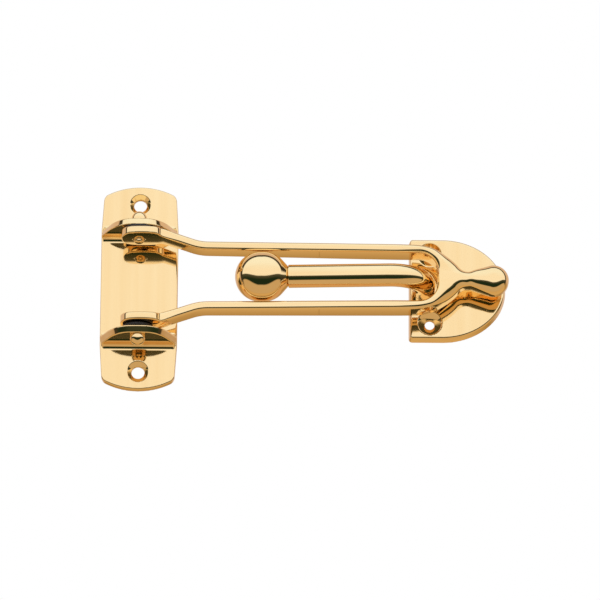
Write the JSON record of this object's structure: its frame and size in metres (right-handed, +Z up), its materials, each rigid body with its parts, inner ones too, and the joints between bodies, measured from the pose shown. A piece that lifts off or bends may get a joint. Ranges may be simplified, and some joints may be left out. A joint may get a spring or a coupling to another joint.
{
  "type": "swing bar door guard",
  "caption": "Door guard: a hinged U-shaped swing bar on a base plate, and a ball-ended arm on a D-shaped strike plate that slides in the bar's slot.",
  "frame": {"origin": "centre of the base plate's flat back face, on the door frame's surface", "axes": "+X along the bar from the base plate towards the strike plate, +Y into the wall, +Z up"},
  "size_m": [0.1357, 0.0243, 0.0706],
  "materials": {
    "brass": "polished",
    "nylon": "matte"
  },
  "bodies": {
    "base": {"base_plate": "brass", "pivot_pin_upper": "brass", "pivot_pin_lower": "brass", "washer_upper": "nylon", "washer_lower": "nylon"},
    "bar": {"swing_bar": "brass"},
    "strike": {"strike_plate": "brass", "strike_arm": "brass", "ball_knob": "brass"}
  },
  "joints": [
    {"name": "bar_swing", "type": "hinge", "parent": "base", "child": "bar", "pos_m": [0, -0.0135, 0], "axis": [0, 0, -1], "range_deg": [0, 180]},
    {"name": "strike_travel", "type": "slide", "parent": "base", "child": "strike", "axis": [1, 0, 0], "range_m": [-0.075, 0]}
  ]
}
